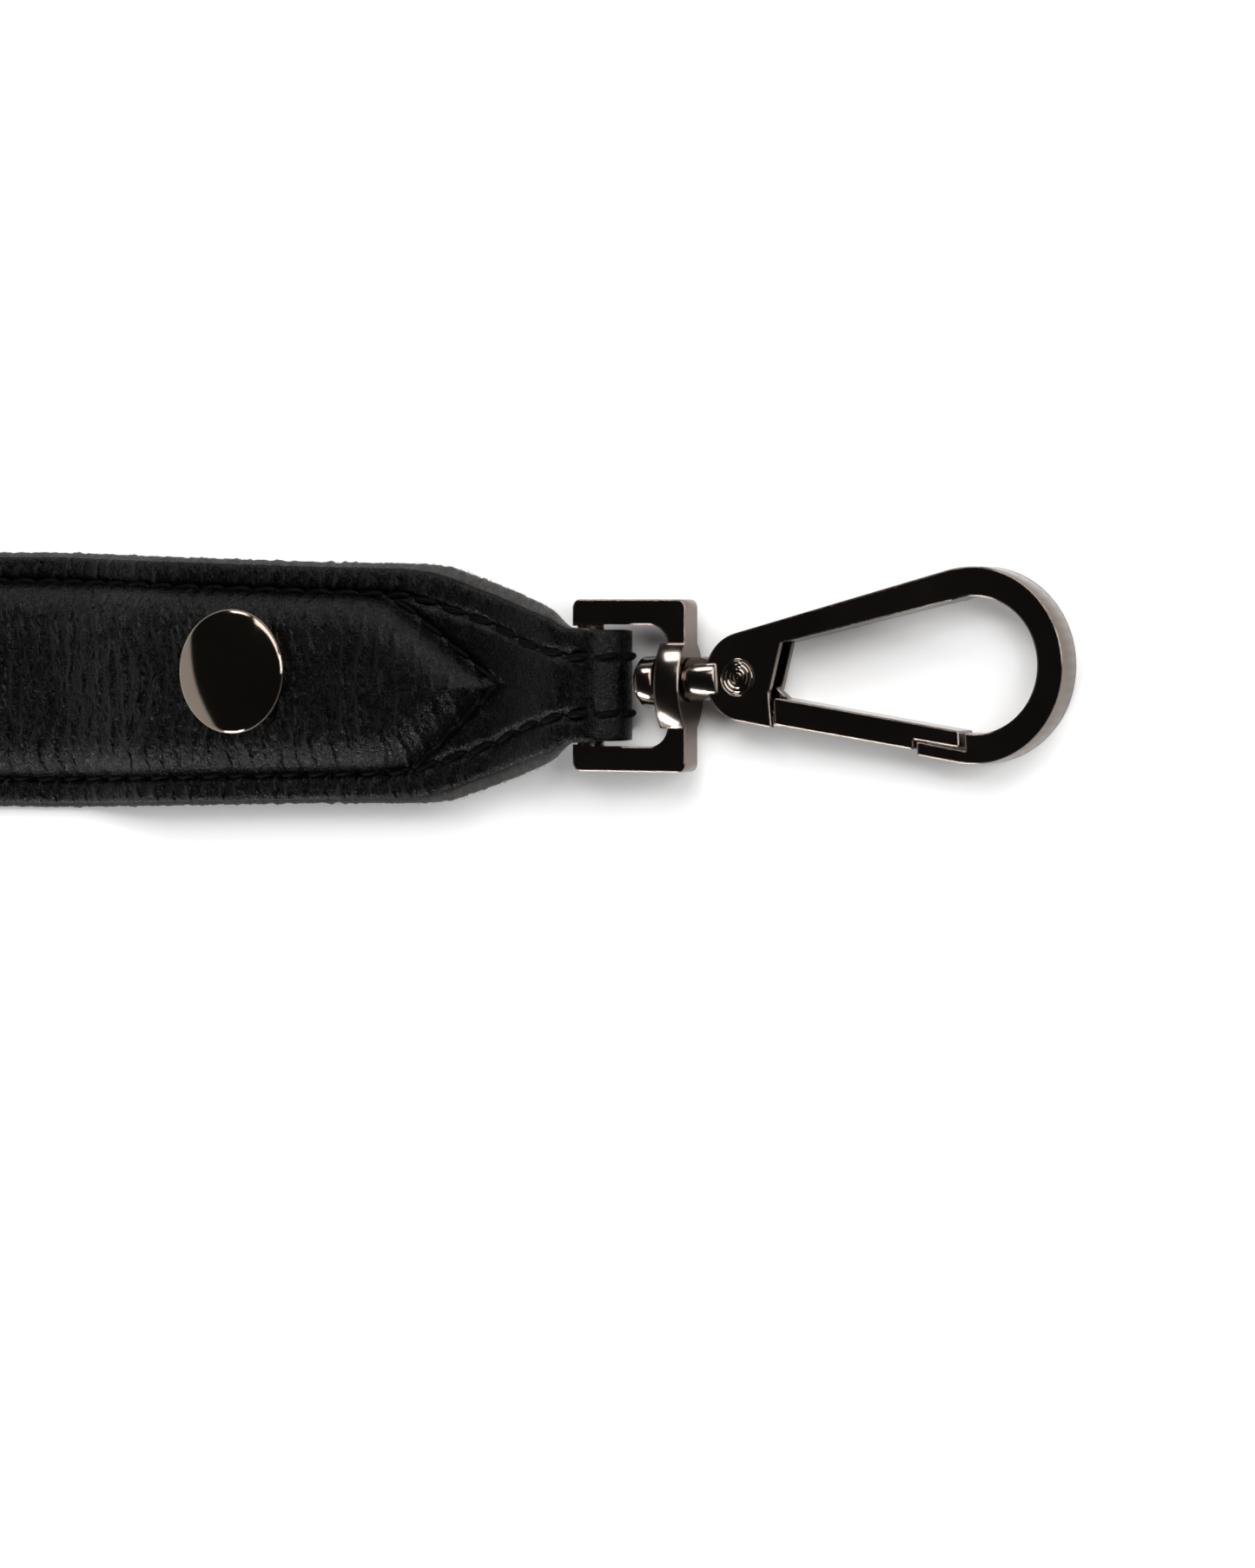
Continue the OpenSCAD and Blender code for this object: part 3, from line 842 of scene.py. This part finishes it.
def dress(node, finish_name, bevel=0.0):
    """Gives a packed metal piece its finish and rounds its edges."""
    piece = frame["nodes"][node]
    piece.data.materials.clear()
    piece.data.materials.append(finish(finish_name))
    if bevel:
        piece.modifiers.new("join_faces", "WELD").merge_threshold = 0.002 * MM
        flat = piece.modifiers.new("merge_flats", "DECIMATE")
        flat.decimate_type = "DISSOLVE"
        flat.angle_limit = math.radians(0.5)
        mod = piece.modifiers.new("edge_break", "BEVEL")
        mod.width = bevel
        mod.segments = 3
        mod.limit_method = "ANGLE"
        mod.angle_limit = math.radians(35)
        mod.harden_normals = True
    return piece


class BAGSTRAP_OT_rings(bpy.types.Operator):
    """Finish the square swivel rings"""
    bl_idname = "bagstrap.rings"
    bl_label = "Swivel rings"

    def execute(self, context):
        for end in ENDS:
            dress(f"swivel_ring_{end}", "hook", context.scene.metal_finish.bevel)
        return {"FINISHED"}


class BAGSTRAP_OT_stems(bpy.types.Operator):
    """Finish the swivel stems"""
    bl_idname = "bagstrap.stems"
    bl_label = "Swivel stems"

    def execute(self, context):
        for end in ENDS:
            dress(f"swivel_stem_{end}", "hook", 0.4 * context.scene.metal_finish.bevel)
        return {"FINISHED"}


class BAGSTRAP_OT_hooks(bpy.types.Operator):
    """Finish the teardrop hook bodies"""
    bl_idname = "bagstrap.hooks"
    bl_label = "Hook bodies"

    def execute(self, context):
        for end in ENDS:
            dress(f"hook_body_{end}", "hook", context.scene.metal_finish.bevel)
        return {"FINISHED"}


class BAGSTRAP_OT_gates(bpy.types.Operator):
    """Finish the gates and their springs"""
    bl_idname = "bagstrap.gates"
    bl_label = "Gates"

    def execute(self, context):
        for end in ENDS:
            dress(f"gate_{end}", "hook", context.scene.metal_finish.bevel)
            dress(f"gate_spring_{end}", "steel")
        return {"FINISHED"}


class BAGSTRAP_OT_rivets(bpy.types.Operator):
    """Turn the gates' rivets, with fine rings spun into both heads"""
    bl_idname = "bagstrap.rivets"
    bl_label = "Gate rivets"

    def execute(self, context):
        face = 2.0 * MM
        head = [(2.02, -0.28), (2.02, -0.02), (1.92, 0.07), (1.78, 0.07), (1.70, -0.04),
                (1.58, -0.04), (1.48, 0.06), (1.34, 0.06), (1.22, -0.08), (1.04, -0.10),
                (0.92, 0.03), (0.80, 0.03), (0.66, -0.10), (0.52, -0.02), (0.34, 0.05),
                (0.15, -0.02), (0.01, -0.06)]
        shaft = [(0.95, -0.28)]
        for end in ENDS:
            joint = next(j for j in frame["joints"] if j["name"] == f"gate_open_{end}")
            up = Vector(joint["axis"]).normalized()
            turn = Vector((0, 0, 1)).rotation_difference(up).to_matrix().to_4x4()
            place = Matrix.Translation(joint["pos_m"]) @ turn
            half = [(r * MM, face + z * MM) for r, z in shaft + head]
            outline = [(r, -z) for r, z in half[::-1]] + half
            rivet = lathe(f"rivet_{end}", outline, place, finish("rivet"), 64)
            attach(rivet, f"hook_{end}")
            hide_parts(f"gate_pin_{end}")
        return {"FINISHED"}


# ---------------------------------------------------------------- stage

def area_light(name, at, target, size, power):
    data = bpy.data.lights.new(name, "AREA")
    data.shape = "RECTANGLE"
    data.size, data.size_y = size
    data.energy = power
    light = bpy.data.objects.new(name, data)
    bpy.context.scene.collection.objects.link(light)
    light.location = at
    light.rotation_euler = (Vector(target) - Vector(at)).to_track_quat("-Z", "Y").to_euler()
    return light


def studio_world():
    """A dark studio over a pale horizon, with a soft glow low on the near left."""
    look = bpy.context.scene.studio_look
    world = bpy.data.worlds.new("studio")
    world.use_nodes = True
    tree = world.node_tree
    way = tree.nodes.new("ShaderNodeTexCoord").outputs["Generated"]

    def lobe(direction, dark_at, bright_at, strength):
        facing = tree.nodes.new("ShaderNodeVectorMath")
        facing.operation = "DOT_PRODUCT"
        tree.links.new(way, facing.inputs[0])
        facing.inputs[1].default_value = Vector(direction).normalized()
        spread = tree.nodes.new("ShaderNodeMapRange")
        spread.interpolation_type = "SMOOTHSTEP"
        tree.links.new(facing.outputs["Value"], spread.inputs["Value"])
        for key, value in (("From Min", dark_at), ("From Max", bright_at), ("To Min", 0.0),
                           ("To Max", strength)):
            spread.inputs[key].default_value = value
        return spread.outputs["Result"]

    def add(a, b):
        node = tree.nodes.new("ShaderNodeMath")
        for socket, value in zip(node.inputs, (a, b)):
            if isinstance(value, float):
                socket.default_value = value
            else:
                tree.links.new(value, socket)
        return node.outputs[0]

    glow = lobe((-0.90, -0.31, -0.26), 0.63, 0.67, look.glow)
    horizon = lobe((0, 0, -1), -0.22, -0.04, look.horizon)
    total = add(add(glow, horizon), look.studio)
    tree.nodes["Background"].inputs["Color"].default_value = (1, 1, 1, 1)
    tree.links.new(total, tree.nodes["Background"].inputs["Strength"])
    return world


class BAGSTRAP_OT_stage(bpy.types.Operator):
    """Lay the pale floor and set the soft lights and the camera"""
    bl_idname = "bagstrap.stage"
    bl_label = "Floor, lights and camera"

    def execute(self, context):
        look = context.scene.studio_look
        bpy.ops.mesh.primitive_plane_add(size=6.0, location=(0, 0, 0))
        floor = context.object
        floor.name = "floor"
        floor.data.materials.append(floor_material())
        aim = Vector((BAR.x + 4.3 * MM, -11.8 * MM, 3 * MM))
        area_light("key", (0.55, 1.10, 1.30), (0.1, 0, 0), (1.6, 1.2), look.key_power)
        area_light("side", (1.50, 0.30, 0.85), (0.1, 0, 0), (0.7, 0.9), look.side_power)
        area_light("rake", (-0.75, 1.60, 1.15), (0.1, 0, 0), (0.7, 0.5), look.rake_power)
        area_light("fill", (-0.60, -1.15, 0.55), (0.1, 0, 0), (0.5, 0.3), look.fill_power)
        context.scene.world = studio_world()
        context.scene.view_settings.view_transform = "Standard"
        lean, side = math.radians(30.3), math.radians(-1.8)
        level = math.cos(side)
        out = Vector((math.sin(lean) * level, -math.sin(side), math.cos(lean) * level))
        right = Vector((0, 1, 0)).cross(out).normalized()
        data = bpy.data.cameras.new("camera")
        data.lens = look.lens
        data.sensor_width = 36.0
        data.clip_start = 0.01
        camera = bpy.data.objects.new("camera", data)
        camera.matrix_world = Matrix((right, out.cross(right), out)).transposed().to_4x4()
        camera.location = aim + out * look.distance
        context.scene.collection.objects.link(camera)
        context.scene.camera = camera
        return {"FINISHED"}


STEPS = (BAGSTRAP_OT_top_leather, BAGSTRAP_OT_backing, BAGSTRAP_OT_foam, BAGSTRAP_OT_seams,
         BAGSTRAP_OT_studs, BAGSTRAP_OT_rings, BAGSTRAP_OT_stems, BAGSTRAP_OT_hooks,
         BAGSTRAP_OT_gates, BAGSTRAP_OT_rivets, BAGSTRAP_OT_stage)


class BAGSTRAP_PT_panel(bpy.types.Panel):
    """Lists the strap's pieces and their sizes and colours"""
    bl_idname = "BAGSTRAP_PT_panel"
    bl_label = "Bag strap"
    bl_space_type = "VIEW_3D"
    bl_region_type = "UI"
    bl_category = "Bag strap"

    def draw(self, context):
        for step in STEPS:
            self.layout.operator(step.bl_idname)
        for name in GROUPS:
            box = self.layout.box()
            settings = getattr(context.scene, name)
            for key in settings.__annotations__:
                box.prop(settings, key)


GROUPS = {"strap_sizes": StrapSizes, "thread_sizes": ThreadSizes, "metal_finish": MetalFinish,
          "studio_look": StudioLook}
CLASSES = (*GROUPS.values(), *STEPS, BAGSTRAP_PT_panel)


def register():
    for item in CLASSES:
        bpy.utils.register_class(item)
    for name, group in GROUPS.items():
        setattr(bpy.types.Scene, name, PointerProperty(type=group))


def unregister():
    for name in GROUPS:
        delattr(bpy.types.Scene, name)
    for item in reversed(CLASSES):
        bpy.utils.unregister_class(item)


def main():
    register()
    bpy.ops.bagstrap.stage()
    bpy.ops.bagstrap.top_leather()
    bpy.ops.bagstrap.backing()
    bpy.ops.bagstrap.foam()
    bpy.ops.bagstrap.seams()
    bpy.ops.bagstrap.studs()
    bpy.ops.bagstrap.rings()
    bpy.ops.bagstrap.stems()
    bpy.ops.bagstrap.hooks()
    bpy.ops.bagstrap.gates()
    bpy.ops.bagstrap.rivets()
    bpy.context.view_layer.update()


if __name__ == "__main__":
    main()
